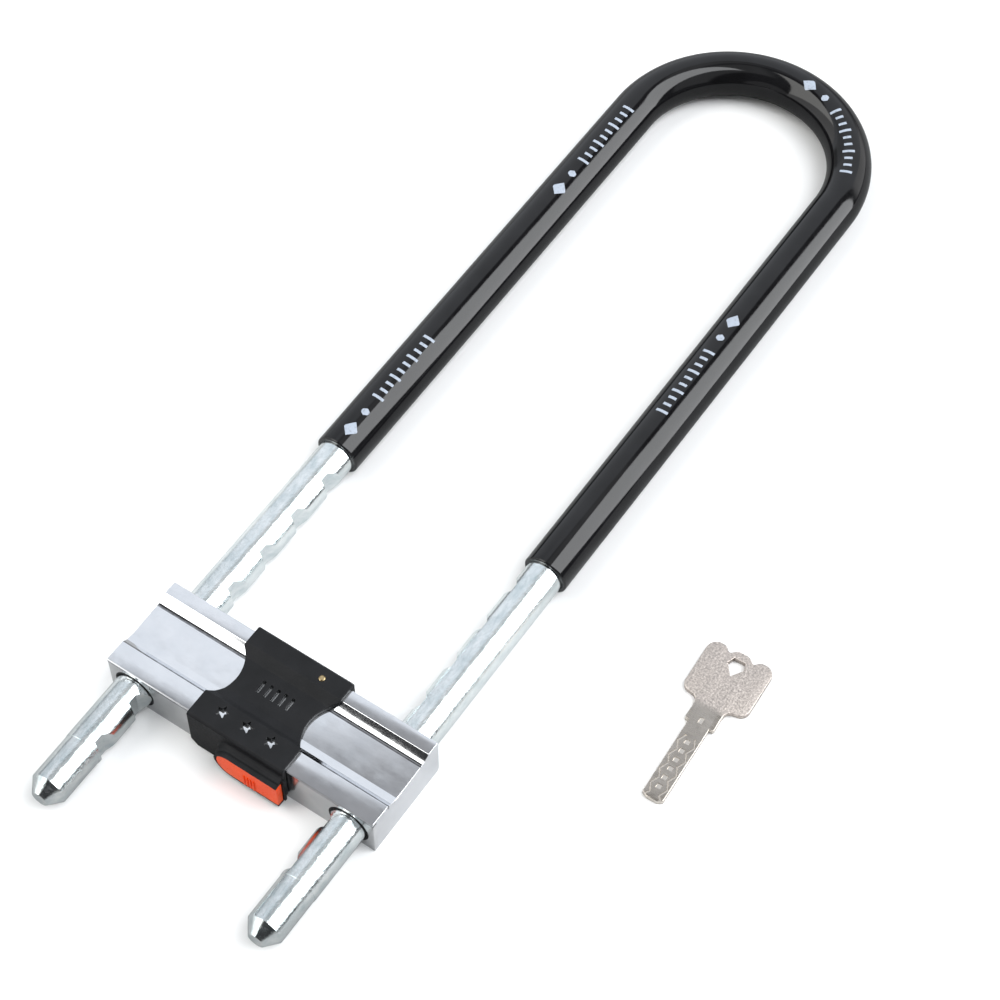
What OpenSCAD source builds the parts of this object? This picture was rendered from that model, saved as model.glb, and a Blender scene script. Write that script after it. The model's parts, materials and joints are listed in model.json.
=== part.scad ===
// Adjustable U lock: a bent steel shackle with a black sleeve, and a crossbar that slides along it.
// Millimetres. Origin: middle of the crossbar in plan, on the surface that the lock rests on.
// +X runs along the crossbar, +Y runs along the legs towards the bend, +Z is up.

/* [Shackle] */
// Diameter of the steel rod
rod_d = 16; // [15:0.5:16]
// Distance between the two leg axes
leg_spacing = 101.5; // [100:0.5:104]
// Outer diameter of the plastic sleeve
sleeve_d = 19.6; // [18.4:0.2:19.6]
// Height of the rod axis above the rest surface
axis_z = 9.8; // [9.8:0.1:10]
// Y of the centre of the bend
bend_y = 334; // [250:1:380]
// Y where the sleeve starts on each leg
sleeve_start_y = 110.4; // [108:0.2:125]
// Y of the shoulder where each leg tip starts to taper
tip_y = -72.3; // [-76:0.1:-70]
// Length of the tapered leg tip
tip_len = 5.6; // [3:0.1:8]
// Diameter of the small flat at the end of the tip
tip_flat_d = 7.2; // [4:0.1:10]
// Length of the plain end of each leg, turned down to take an end cap
plain_end_l = 20; // [18:0.5:20]
// Diameter of that plain end
plain_end_d = 15.6; // [15.4:0.1:15.6]

/* [Notches] */
// Distance from one notch to the next
notch_pitch = 20.5; // [20.5:0.5:21]
// Number of notches on each leg
notch_count = 8; // [6:1:8]
// Y of the steep wall of the notch nearest the tip
notch_first_y = -51; // [-51:0.5:-51]
// Depth of a notch below the rod surface
notch_depth = 3.3; // [3.3:0.1:3.6]
// Run of the steep wall along the leg
notch_wall = 1.2; // [0.8:0.1:1.3]
// Length of the flat floor
notch_floor = 4.2; // [4.1:0.1:4.6]
// Run of the gentle ramp along the leg
notch_ramp = 4.6; // [4:0.1:6]

/* [Crossbar] */
// Length of the crossbar
bar_l = 125; // [124:1:130]
// Depth of the crossbar along the legs
bar_d = 42; // [42:0.5:42]
// Height of the front rail and of the back flange
bar_h = 21.5; // [21.3:0.1:22]
// Depth of the front rail, from the front edge to its crease
rail_d = 9.6; // [9:0.1:10]
// Height of the valley floor at its front edge
valley_front_z = 18.8; // [18.7:0.1:19.2]
// Height of the valley floor at its back edge
valley_back_z = 19.3; // [19.2:0.1:19.6]
// Width of the flat back flange
flange_d = 6.2; // [5.8:0.1:6.4]
// Radial clearance between a leg and the steel bore
bore_gap = 0.2; // [0.15:0.05:0.2]

/* [Centre cover] */
// Thickness of the black centre cover
cover_t = 2; // [1.6:0.1:2]
// Half of the cover's width at its front and back
cover_half_w = 22.5; // [21:0.1:23]
// Radius of the two scooped sides of the cover
scoop_r = 16; // [14:0.5:18]
// Distance from the middle of the cover to the centre of each scoop
scoop_x = 33; // [32:0.5:35]

/* [Dust shutter] */
// Height of the sliding shutter
shutter_h = 13; // [12.4:0.2:13]
// X of the square end of the shutter
shutter_end_x = 22.6; // [22:0.2:23]

/* [Lock mechanism] */
// Outer diameter of the cylinder housing
housing_d = 15; // [14.8:0.1:15]
// Diameter of the cylinder plug
plug_d = 10.9; // [10.8:0.1:10.9]
// Radius of the cam disc
cam_r = 7.7; // [7.6:0.1:7.7]
// Distance of a drive pin from the plug axis with the bolts withdrawn
pin_rest_r = 3; // [3:0.05:3]
// Travel of each bolt for a quarter turn of the plug
bolt_travel = 3.2; // [3.1:0.1:3.2]
// Thickness of a bolt along the legs
bolt_t = 3.4; // [3.2:0.1:3.4]

/* [Key] */
// Length of the key blade in front of its shoulders
blade_l = 37; // [34:0.5:38]
// Width of the key blade
blade_w = 9; // [8.6:0.1:9]
// Thickness of the key
key_t = 2.4; // [2.2:0.1:2.4]
// Direction of the key on the rest surface, from +X towards +Y
key_angle = 93; // [60:1:120]
// X of the key's shoulders
key_x = 134.5; // [110:0.5:150]
// Y of the key's shoulders
key_y = 92; // [60:0.5:140]

/* [Hidden] */
$fn = 64;

over = 1;                       // how far a cutter runs past the face it opens
fit = 0.02;                     // gap between two pieces that are pressed together
leg_x = leg_spacing / 2;
rod_r = rod_d / 2;
sleeve_r = sleeve_d / 2;
front_y = -bar_d / 2;
back_y = bar_d / 2;
bore_r = rod_r + bore_gap;
bush_r = 9.2;
bush_back_l = 5;                // length of a bush in the back face
bush_front_l = 5;               // length of a bush in the front face

lip_t = 1.3;                    // thickness of the rail's lip over the front plate
plate_t = 2;                    // thickness of the front plate
plate_set = 0.3;                // how far the front plate sits behind the lip
plate_front_y = front_y + plate_set;
plate_back_y = plate_front_y + plate_t;
plate_top_z = bar_h - lip_t - 0.25;
slope_d = 5.8;                  // run of the slope from the rail down to the valley
step_d = 5.2;                   // run of the hollow cove from the valley up to the flange
cove_y = back_y - flange_d - step_d;
cove_rise = bar_h - valley_back_z;
cove_r = (step_d * step_d + cove_rise * cove_rise) / (2 * cove_rise);
bottom_chamfer = 1.2;

base_t = 1.6;                   // depth of the recess for the base plate
base_half_x = 40;
base_y0 = 1;
base_y1 = 18.4;
screw_xs = [-34, -20, 20, 34];
screw_y = 5.2;

bolt_y = 13.8;                  // Y of the middle of both bolts
bolt_y0 = bolt_y - bolt_t / 2;
slide_gap = 0.1;                // gap between a bolt and its channel
bolt_z0 = 6.2;
bolt_z1 = 13.4;
bolt_rest_x = leg_x - bore_r - 0.05;
lug_x = 34;                     // inner face of the lug that the bolt spring pushes
lug_w = 2.4;
post_x = 14;                    // inner face of the post that holds the bolt spring
post_w = 2;
pocket_half_x = 8.6;
pocket_y1 = 16.2;
pocket_z1 = 17.9;

cam_y0 = 8.2;
cam_t = 3.5;
cam_pin_r = 0.8;
cam_slot_r = 0.95;
tail_r = 1.8;
cylinder_y0 = plate_front_y;
housing_y1 = 3;
plug_y1 = 3.1;
keyway_w = key_t + 0.2;
keyway_h = blade_w + 0.2;
slider_ys = [for (i = [0:4]) -15.5 + 3.1 * i];
bar_slot_w = 1.6;

shutter_y0 = front_y - 6.2;     // front face of the shutter
shutter_t = 3;
shutter_r = shutter_h / 2;
tongue_t = 1;                   // thickness of the shutter's guide tongues
tongue_w = 0.8;
rim_t = 1.7;                    // wall of the frame round the shutter
rim_y0 = front_y - 5.4;         // front face of that frame
cover_front_y = front_y - cover_t;
vent_pitch = 3.4;               // spacing of the five vent slots in the cover
vent_w = 1.3;
vent_l = 5.6;
vent_y = 2.8;
star_r = 3.0;                   // outer radius of the star cut-outs
frame_end_x = 25.4;

// Places a flat drawing so that its X lies along Y and its Y along Z, and gives it a width in X.
module along_x(w) {
    rotate([90, 0, 90]) linear_extrude(height = w, center = true) children();
}

// Places a flat drawing so that its X stays X and its Y lies along Z, between two Y planes.
module along_y(y0, y1) {
    translate([0, y1, 0]) rotate([90, 0, 0]) linear_extrude(height = y1 - y0) children();
}

// A round bar along Y between two Y planes.
module rod_y(r, y0, y1) {
    translate([0, y0, 0]) rotate([-90, 0, 0]) cylinder(r = r, h = y1 - y0);
}

// A box from two corners.
module block(low, high) {
    translate(low) cube(high - low);
}

// Repeats a shape at both legs.
module at_legs() {
    for (side = [-1, 1]) translate([side * leg_x, 0, axis_z]) children();
}

// Repeats a shape on both sides of the middle plane, mirrored on the left.
module both_sides() {
    children();
    mirror([1, 0, 0]) children();
}

// Point i of ring k of a coil: a small round section carried along a helix.
function coil_point(r, wire, pitch, a, b) =
    [(r + wire * cos(b)) * cos(a), (r + wire * cos(b)) * sin(a), pitch * a / 360 + wire * sin(b)];

// A coil spring along +Z: mean radius, wire radius, turns and length.
module coil(r, wire, turns, length, steps = 12, sides = 6) {
    rings = round(turns * steps);
    pitch = (length - 2 * wire) / turns;
    points = [for (k = [0:rings]) for (i = [0:sides - 1])
        coil_point(r, wire, pitch, 360 * k / steps, 360 * i / sides)];
    walls = [for (k = [0:rings - 1]) for (i = [0:sides - 1])
        let (j = (i + 1) % sides, p = k * sides, q = p + sides)
        each [[p + i, q + i, p + j], [q + i, q + j, p + j]]];
    low_cap = [[for (i = [0:sides - 1]) i]];
    high_cap = [[for (i = [sides - 1:-1:0]) rings * sides + i]];
    translate([0, 0, wire]) polyhedron(points = points, faces = concat(walls, low_cap, high_cap));
}

// ---- Crossbar ----

// Outline of the crossbar's top, raised by t, from the rail's crease to the foot of the cove.
function top_line(t) = [
    [front_y + rail_d, bar_h + t],
    [front_y + rail_d + 0.4 * slope_d, 0.35 * bar_h + 0.65 * valley_front_z + t],
    [front_y + rail_d + slope_d, valley_front_z + t],
    [cove_y, valley_back_z + t]
];

// Section of the crossbar: the hollow cove is a round cut that starts level with the valley.
module bar_outline() {
    difference() {
        polygon(concat(
            [[plate_back_y, 0], [plate_back_y, plate_top_z + 0.25], [front_y, plate_top_z + 0.25]],
            [[front_y, bar_h - 0.4], [front_y + 0.4, bar_h]],
            top_line(0),
            [[cove_y, bar_h], [back_y - 0.4, bar_h], [back_y, bar_h - 0.4]],
            [[back_y, bottom_chamfer], [back_y - bottom_chamfer, 0]]
        ));
        translate([cove_y, valley_back_z + cove_r]) circle(r = cove_r);
    }
}

module leg_bores() {
    at_legs() {
        rod_y(bore_r, front_y - over, back_y + over);
        rod_y(bush_r, back_y - bush_back_l, back_y + over);
        rod_y(bush_r, front_y - over, plate_front_y + bush_front_l);
    }
}

module crossbar_body() {
    color("gainsboro") difference() {
        along_x(bar_l) bar_outline();
        leg_bores();
        translate([0, 0, axis_z]) rod_y(housing_d / 2, front_y - over, housing_y1);
        block([-pocket_half_x, housing_y1 - 0.5, base_t], [pocket_half_x, pocket_y1, pocket_z1]);
        both_sides() {
            block([0, bolt_y0 - slide_gap, base_t],
                  [base_half_x, bolt_y0 + bolt_t + slide_gap, bolt_z1 + slide_gap]);
            block([base_half_x - over, bolt_y0 - slide_gap, bolt_z0 - slide_gap],
                  [leg_x - 3, bolt_y0 + bolt_t + slide_gap, bolt_z1 + slide_gap]);
        }
        block([-base_half_x, base_y0, -over], [base_half_x, base_y1, base_t]);
        for (x = screw_xs) translate([x, screw_y, -over]) cylinder(r = 1.5, h = 9 + over);
        translate([0, -10, -over]) cylinder(r = 1.5, h = 4 + over);
    }
}

module front_plate() {
    color("gainsboro") difference() {
        block([-bar_l / 2, plate_front_y, 0], [bar_l / 2, plate_back_y - fit, plate_top_z]);
        at_legs() rod_y(bush_r, front_y - over, 0);
        translate([0, 0, axis_z]) rod_y(housing_d / 2, front_y - over, 0);
    }
}

module base_plate() {
    color("silver") difference() {
        union() {
            block([-base_half_x + 0.1, base_y0 + 0.1, 0], [base_half_x - 0.1, base_y1 - 0.1, base_t - fit]);
            both_sides() block([post_x, bolt_y0 + 0.1, base_t - 0.1],
                               [post_x + post_w, bolt_y0 + bolt_t - 0.1, 6]);
        }
        for (x = screw_xs) translate([x, screw_y, -0.01]) cylinder(r1 = 2.72, r2 = 1.55, h = 1.2);
        for (x = screw_xs) translate([x, screw_y, -over]) cylinder(r = 1.55, h = 4);
    }
}

module base_plate_screws() {
    color("dimgray") for (x = screw_xs) translate([x, screw_y, 0]) difference() {
        union() {
            translate([0, 0, 0.1]) cylinder(r1 = 2.6, r2 = 1.5 - fit, h = 1.1);
            translate([0, 0, 0.1]) cylinder(r = 1.5 - fit, h = 8);
        }
        cylinder(r = 0.9, h = 1.3, $fn = 6);
    }
}

module leg_bushes() {
    bush_bore_r = rod_r + 0.3;
    color("#151517") at_legs() {
        difference() {
            rod_y(bush_r - fit, plate_front_y, plate_front_y + bush_front_l - fit);
            rod_y(bush_bore_r, front_y - over, 0);
        }
        difference() {
            rod_y(bush_r - fit, back_y - bush_back_l + fit, back_y);
            rod_y(bush_bore_r, 0, back_y + over);
        }
    }
}

// ---- Centre cover ----

// Section of the cover: a front wall, a saddle that follows the crossbar's top, and a back wall.
module cover_outline() {
    corner = 0.9;                   // leg of the chamfer on the two upper corners
    outer_y = cover_front_y;
    top_z = bar_h + cover_t;
    difference() {
        polygon(concat(
            [[outer_y, 0.6], [outer_y, top_z - corner], [outer_y + corner, top_z]],
            [for (p = top_line(cover_t)) p + [0.4, 0]],
            [[back_y - flange_d - 0.4, top_z], [-outer_y - corner, top_z], [-outer_y, top_z - corner]],
            [[-outer_y, 9]]
        ));
        polygon(concat(
            [[front_y - fit, -5], [front_y - fit, bar_h + fit]],
            top_line(fit),
            [[back_y - flange_d, bar_h + fit], [back_y + fit, bar_h + fit], [back_y + fit, -5]]
        ));
    }
}

module star(r) {
    polygon([for (i = [0:9]) let (q = i % 2 == 0 ? r : 0.42 * r) [q * sin(36 * i), q * cos(36 * i)]]);
}

module cover_cuts() {
    for (side = [-1, 1]) translate([side * scoop_x, 1, 0]) cylinder(r = scoop_r, h = 40);
    for (i = [-1:1]) translate([i * 11.4, front_y + 6, bar_h - over])
        linear_extrude(height = 6) star(star_r);
    for (i = [-2:2]) translate([i * vent_pitch, vent_y, valley_front_z - over])
        linear_extrude(height = 6) square([vent_w, vent_l], center = true);
    translate([11, 17.8, bar_h - over]) cylinder(r = 1.3, h = 6);
}

module centre_cover() {
    color("#2b2c2f") difference() {
        along_x(2 * cover_half_w) cover_outline();
        cover_cuts();
        translate([0, 0, axis_z]) rod_y(housing_d / 2 + 0.1, front_y - 5, 0);
        for (side = [-1, 1]) translate([side * cover_half_w, 0, 0]) rotate([0, side * 45, 0])
            block([-2.6, front_y - 5, -4], [2.6, front_y, 4]);
    }
}

module cover_rivet() {
    color("goldenrod") translate([11, 17.8, bar_h]) {
        cylinder(r = 1.3 - fit, h = cover_t);
        translate([0, 0, cover_t - fit]) cylinder(r1 = 1.28, r2 = 0.9, h = 0.35);
    }
}

// ---- Dust shutter ----

// Flat outline of the shutter in X and Z, grown by g: round left end, square right end.
module shutter_outline(g, end_x) {
    circle(r = shutter_r + g);
    translate([0, -shutter_r - g]) square([end_x, shutter_h + 2 * g]);
}

module shutter_housing() {
    tongue_y0 = shutter_y0 + shutter_t - tongue_t;
    color("#1c1c1f") translate([0, 0, axis_z]) difference() {
        union() {
            along_y(rim_y0, cover_front_y - fit) intersection() {
                shutter_outline(rim_t, frame_end_x - 4);
                translate([-20, -axis_z + 0.4]) square([80, 40]);
            }
            along_y(front_y - 3, cover_front_y - fit) intersection() {
                shutter_outline(rim_t, frame_end_x);
                translate([-20, -axis_z + 0.4]) square([80, 40]);
            }
            along_y(rim_y0 - 0.5, cover_front_y - fit) translate([-2, shutter_r + 0.15])
                square([frame_end_x - 2, rim_t + 0.7]);
        }
        along_y(shutter_y0 - over, tongue_y0 + tongue_t + 0.1)
            shutter_outline(0.1, frame_end_x + over);
        along_y(tongue_y0 - 0.1, tongue_y0 + tongue_t + 0.1)
            shutter_outline(tongue_w + 0.1, frame_end_x + over);
        rod_y(plug_d / 2 + 0.4, front_y - 8, 0);
        translate([8, 0, 0]) block([0, front_y - 3.2, -2.5], [12, front_y - 2.55, 2.5]);
    }
}

module dust_shutter() {
    tongue_y0 = shutter_y0 + shutter_t - tongue_t;
    color("orangered") translate([0, 0, axis_z]) {
        along_y(shutter_y0, shutter_y0 + shutter_t) shutter_outline(0, shutter_end_x);
        along_y(tongue_y0, tongue_y0 + tongue_t) shutter_outline(tongue_w, shutter_end_x);
        for (i = [0:3]) along_y(shutter_y0 - 0.6, shutter_y0 + 0.1)
            translate([6.2 + 1.5 * i, -4.6]) square([0.7, 5.2]);
    }
}

// A thin bowed leaf behind the shutter, which holds it where it is left.
module shutter_leaf_spring() {
    leaf_r = 40;
    color("silver") translate([14, front_y - 2.58 - leaf_r, axis_z - 1.5]) linear_extrude(height = 3)
        intersection() {
            difference() {
                circle(r = leaf_r);
                circle(r = leaf_r - 0.2);
            }
            translate([-5, 20]) square([10, 40]);
        }
}

// ---- Cylinder ----

module cylinder_housing() {
    color("darkgoldenrod") translate([0, 0, axis_z]) difference() {
        rod_y(housing_d / 2 - fit, cylinder_y0, housing_y1);
        rod_y(plug_d / 2 + 0.05, cylinder_y0 - over, housing_y1 + over);
        block([plug_d / 2 - 1, cylinder_y0 + 1.5, -bar_slot_w / 2],
              [plug_d / 2 + 1, housing_y1 - 1, bar_slot_w / 2]);
        translate([0, -10, -housing_d / 2 - over]) cylinder(r = 1.5, h = over + 1.2);
    }
}

module cylinder_set_screw() {
    color("dimgray") translate([0, -10, 0.3]) difference() {
        cylinder(r = 1.5 - fit, h = 3);
        translate([0, 0, -0.01]) cylinder(r = 0.8, h = 1.5, $fn = 6);
    }
}

module cylinder_plug() {
    color("gold") translate([0, 0, axis_z]) difference() {
        union() {
            rod_y(plug_d / 2, cylinder_y0, plug_y1);
            rod_y(3.4, plug_y1 - 0.1, cam_y0 - 1);
            rod_y(tail_r - fit, cam_y0 - 2, cam_y0 + cam_t);
        }
        difference() {
            rod_y(3.6, plug_y1 + 0.2, plug_y1 + 1.3);
            rod_y(2.8, plug_y1, plug_y1 + 2);
        }
        block([-keyway_w / 2, cylinder_y0 - over, -keyway_h / 2], [keyway_w / 2, 1.5, keyway_h / 2]);
        for (y = slider_ys) block([keyway_w / 2 - 0.1, y - 0.6, -2.6], [4, y + 0.6, 2.6]);
        block([3.9, cylinder_y0 + 1.5, -bar_slot_w / 2],
              [plug_d / 2 + over, housing_y1 - 1, bar_slot_w / 2]);
    }
}

module tumbler_sliders() {
    color("khaki") for (y = slider_ys)
        translate([0, 0, axis_z]) block([keyway_w / 2 + 0.1, y - 0.55, -2.5], [3.85, y + 0.55, 0.4]);
}

module slider_springs() {
    color("silver") for (y = slider_ys)
        translate([2.6, y, axis_z + 0.45]) coil(0.38, 0.12, 4, 2.1, 8, 5);
}

module side_bar() {
    color("khaki") translate([0, 0, axis_z])
        block([3.95, cylinder_y0 + 1.6, -bar_slot_w / 2 + 0.05],
              [plug_d / 2 - 0.15, housing_y1 - 1.1, bar_slot_w / 2 - 0.05]);
}

module retaining_clip() {
    color("silver") translate([0, 0, axis_z]) difference() {
        rod_y(5, plug_y1 + 0.25, plug_y1 + 1.25);
        rod_y(2.85, plug_y1, plug_y1 + 2);
        block([-2, 0, 0], [2, 12, 6]);
    }
}

// ---- Bolts ----

// Distance of a drive pin from the axis after the plug has turned by a.
function pin_r(a) = pin_rest_r + bolt_travel * a / 90;

// One spiral slot of the cam disc, with round ends.
module cam_slot() {
    turn = [for (a = [0:4.5:90]) a];
    outer = [for (a = turn) (pin_r(a) + cam_slot_r) * [cos(a), sin(a)]];
    inner = [for (i = [len(turn) - 1:-1:0]) (pin_r(turn[i]) - cam_slot_r) * [cos(turn[i]), sin(turn[i])]];
    polygon(concat(outer, inner));
    for (a = [0, 90]) translate(pin_r(a) * [cos(a), sin(a)]) circle(r = cam_slot_r);
}

module cam_disc() {
    color("slategray") translate([0, 0, axis_z]) along_y(cam_y0, cam_y0 + cam_t) difference() {
        circle(r = cam_r);
        circle(r = tail_r);
        cam_slot();
        rotate(180) cam_slot();
    }
}

module bolt() {
    tip = 1;
    difference() {
        along_y(bolt_y0, bolt_y0 + bolt_t) polygon([
            [1.4, bolt_z0], [lug_x, bolt_z0], [lug_x, base_t + 0.3], [lug_x + lug_w, base_t + 0.3],
            [lug_x + lug_w, bolt_z0], [bolt_rest_x - tip, bolt_z0], [bolt_rest_x, bolt_z0 + tip],
            [bolt_rest_x, bolt_z1 - tip], [bolt_rest_x - tip, bolt_z1], [1.4, bolt_z1]
        ]);
        translate([pin_rest_r, 0, axis_z]) rod_y(cam_pin_r, bolt_y0 - over, bolt_y0 + bolt_t + over);
    }
}

module drive_pin() {
    translate([pin_rest_r, 0, axis_z]) rod_y(cam_pin_r - fit, cam_y0 + 0.3, bolt_y0 + bolt_t);
}

module left_bolt() {
    color("steelblue") mirror([1, 0, 0]) bolt();
}

module right_bolt() {
    color("steelblue") bolt();
}

module left_drive_pin() {
    color("dimgray") mirror([1, 0, 0]) drive_pin();
}

module right_drive_pin() {
    color("dimgray") drive_pin();
}

module bolt_springs() {
    spring_z = (base_t + bolt_z0) / 2;
    spring_l = lug_x - post_x - post_w - 0.1;
    color("silver") both_sides() translate([post_x + post_w + 0.05, bolt_y, spring_z])
        rotate([0, 90, 0]) coil(1.4, 0.3, 9, spring_l);
}

// ---- Shackle ----

// The straight right leg, of radius r, from y0 to the start of the bend.
module leg(r, y0) {
    translate([leg_x, 0, 0]) rod_y(r, y0, bend_y);
}

// The half-round bend that joins the two legs.
module bend(r) {
    translate([0, bend_y, 0]) rotate_extrude(angle = 180) translate([leg_x, 0]) circle(r = r);
}

// Flat outline of one notch on the right leg's inner side, from the Y of its steep wall.
module notch(y) {
    inner_x = leg_x - rod_r;
    floor_x = inner_x + notch_depth;
    out = over / notch_depth;
    polygon([
        [inner_x - over, y - notch_wall * out], [floor_x, y + notch_wall],
        [floor_x, y + notch_wall + notch_floor],
        [inner_x - over, y + notch_wall + notch_floor + notch_ramp * (1 + out)]
    ]);
}

module shackle_rod() {
    color("#d5dde6") translate([0, 0, axis_z]) difference() {
        union() {
            bend(rod_r);
            both_sides() {
                leg(rod_r, tip_y + plain_end_l);
                translate([leg_x, 0, 0]) rod_y(plain_end_d / 2, tip_y, tip_y + plain_end_l);
                translate([leg_x, tip_y, 0]) rotate([90, 0, 0])
                    cylinder(r1 = plain_end_d / 2, r2 = tip_flat_d / 2, h = tip_len);
            }
        }
        both_sides() for (i = [0:notch_count - 1]) translate([0, 0, -rod_r - over])
            linear_extrude(height = rod_d + 2 * over) notch(notch_first_y + notch_pitch * i);
    }
}

module shackle_sleeve() {
    color("#101013") translate([0, 0, axis_z]) {
        translate([0, bend_y, 0]) rotate_extrude(angle = 180) translate([leg_x, 0]) difference() {
            circle(r = sleeve_r);
            circle(r = rod_r + fit);
        }
        both_sides() difference() {
            leg(sleeve_r, sleeve_start_y);
            translate([leg_x, 0, 0]) rod_y(rod_r + fit, sleeve_start_y - over, bend_y + over);
        }
    }
}

// ---- Key ----

// Flat outline of the key: blade towards -X, shoulders at the origin, bow towards +X.
module key_outline() {
    bow_x = 11;
    polygon([
        [-blade_l + 1.2, -blade_w / 2], [0, -blade_w / 2], [0, -blade_w / 2 - 1.6], [1.2, -blade_w / 2 - 1.9],
        [8, -6.4], [10.5, -9], [12.2, -13.2], [14.5, -14.2], [32, -14.2], [32, 14.2], [14.5, 14.2],
        [12.2, 13.2], [10.5, 9], [8, 6.4], [1.2, blade_w / 2 + 1.9], [0, blade_w / 2 + 1.6],
        [0, blade_w / 2], [-blade_l + 1.2, blade_w / 2], [-blade_l, 2.4], [-blade_l, -2.4]
    ]);
    for (y = [-9.7, 9.7]) translate([32, y]) circle(r = 4.5);
    translate([34, 0]) circle(r = 6.2);
    translate([bow_x + 17, -6]) square([6, 12]);
}

// Bow hole with five straight sides.
module bow_hole() {
    translate([29.5, 0]) polygon([[-4.5, 0], [0.4, -3.6], [3.4, -2.4], [3.4, 2.4], [0.4, 3.6]]);
}

// Flat outline of the wavy track that is milled along the blade.
module wave_track() {
    low = [for (x = [-35:1:-6]) [x, 1.7 * sin(26 * x) - 1.1]];
    high = [for (x = [-6:-1:-35]) [x, 1.7 * sin(26 * x) + 1.1]];
    polygon(concat(low, high));
}

module key() {
    color("#b9b4aa") translate([key_x, key_y, 0]) rotate(key_angle) difference() {
        linear_extrude(height = key_t) key_outline();
        translate([0, 0, -over]) linear_extrude(height = key_t + 2 * over) bow_hole();
        translate([0, 0, key_t - 0.6]) linear_extrude(height = over) wave_track();
        for (x = [-30, -23, -16, -9]) translate([x, 0, key_t - 0.9])
            linear_extrude(height = over) square([2.2, 2.2], center = true);
    }
}

crossbar_body();
front_plate();
base_plate();
base_plate_screws();
leg_bushes();
centre_cover();
cover_rivet();
shutter_housing();
shutter_leaf_spring();
dust_shutter();
cylinder_housing();
cylinder_set_screw();
cylinder_plug();
tumbler_sliders();
slider_springs();
side_bar();
retaining_clip();
cam_disc();
left_bolt();
right_bolt();
left_drive_pin();
right_drive_pin();
bolt_springs();
shackle_rod();
shackle_sleeve();
key();
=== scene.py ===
"""Looks for the adjustable U lock: materials, finer pieces for the parts that show, light and camera.

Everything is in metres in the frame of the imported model: +X along the crossbar, +Y along the legs, +Z up.
Lengths that are easier to read in millimetres are written as a number times MM.
"""
import json
import math
import bmesh
import bpy
from mathutils import Matrix, Vector


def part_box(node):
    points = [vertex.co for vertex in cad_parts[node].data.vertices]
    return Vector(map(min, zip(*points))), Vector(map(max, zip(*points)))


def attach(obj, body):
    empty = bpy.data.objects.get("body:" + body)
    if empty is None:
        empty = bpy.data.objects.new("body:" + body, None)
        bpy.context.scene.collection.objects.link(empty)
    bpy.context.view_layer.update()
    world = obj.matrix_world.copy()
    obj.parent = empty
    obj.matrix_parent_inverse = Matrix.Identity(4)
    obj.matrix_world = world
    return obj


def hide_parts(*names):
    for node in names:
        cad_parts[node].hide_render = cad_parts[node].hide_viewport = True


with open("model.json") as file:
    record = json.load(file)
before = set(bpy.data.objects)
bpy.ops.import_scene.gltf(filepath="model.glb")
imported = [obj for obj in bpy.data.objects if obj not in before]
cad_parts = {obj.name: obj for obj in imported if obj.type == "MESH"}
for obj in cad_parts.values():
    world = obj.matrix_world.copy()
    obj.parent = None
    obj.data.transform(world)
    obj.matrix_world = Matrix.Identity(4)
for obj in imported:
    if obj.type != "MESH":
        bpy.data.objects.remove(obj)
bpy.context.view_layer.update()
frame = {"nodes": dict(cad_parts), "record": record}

MM = 0.001
NODES = frame["nodes"]
SLOT_OF = {part["node"]: part["material_slot"] for part in frame["record"]["subparts"]}
UP = Vector((0, 0, 1))


# ---------------------------------------------------------------- places taken from the frame

BAR_LOW, BAR_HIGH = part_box("crossbar_body")
ROD_LOW, ROD_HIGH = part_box("shackle_rod")
SLEEVE_LOW, SLEEVE_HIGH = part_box("shackle_sleeve")
SHUTTER_LOW, SHUTTER_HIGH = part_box("dust_shutter")
KEY_LOW, KEY_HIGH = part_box("key")
PLUG_LOW, PLUG_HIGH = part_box("cylinder_plug")
HOOD_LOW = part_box("shutter_housing")[0]
COVER_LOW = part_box("centre_cover")[0]

ROD_R = (ROD_HIGH.z - ROD_LOW.z) / 2
SLEEVE_R = (SLEEVE_HIGH.z - SLEEVE_LOW.z) / 2
LEG_X = SLEEVE_HIGH.x - SLEEVE_R
BEND_Y = SLEEVE_HIGH.y - LEG_X - SLEEVE_R
AXIS_Z = (ROD_HIGH.z + ROD_LOW.z) / 2
PLUG_R = (PLUG_HIGH.z - PLUG_LOW.z) / 2

# The top of the crossbar from front to back: a rail, a slope, a valley, a cove and a flange.
RAIL_BACK_Y = BAR_LOW.y + 9.6 * MM
SLOPE_FOOT_Y = RAIL_BACK_Y + 5.8 * MM
FLANGE_FRONT_Y = BAR_HIGH.y - 6.2 * MM
COVE_FOOT_Y = FLANGE_FRONT_Y - 5.2 * MM
CREASE_Z = BAR_HIGH.z - 3.0 * MM
LIP_Z = BAR_HIGH.z - 1.5 * MM

# The key's own origin is where its blade meets its neck, and its bow points along its own +X.
KEY_TURN = math.radians(93)
KEY_ORIGIN = Vector((134.5, 92, 0)) * MM
BOW_START_X = 8.5 * MM


# ---------------------------------------------------------------- materials

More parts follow.
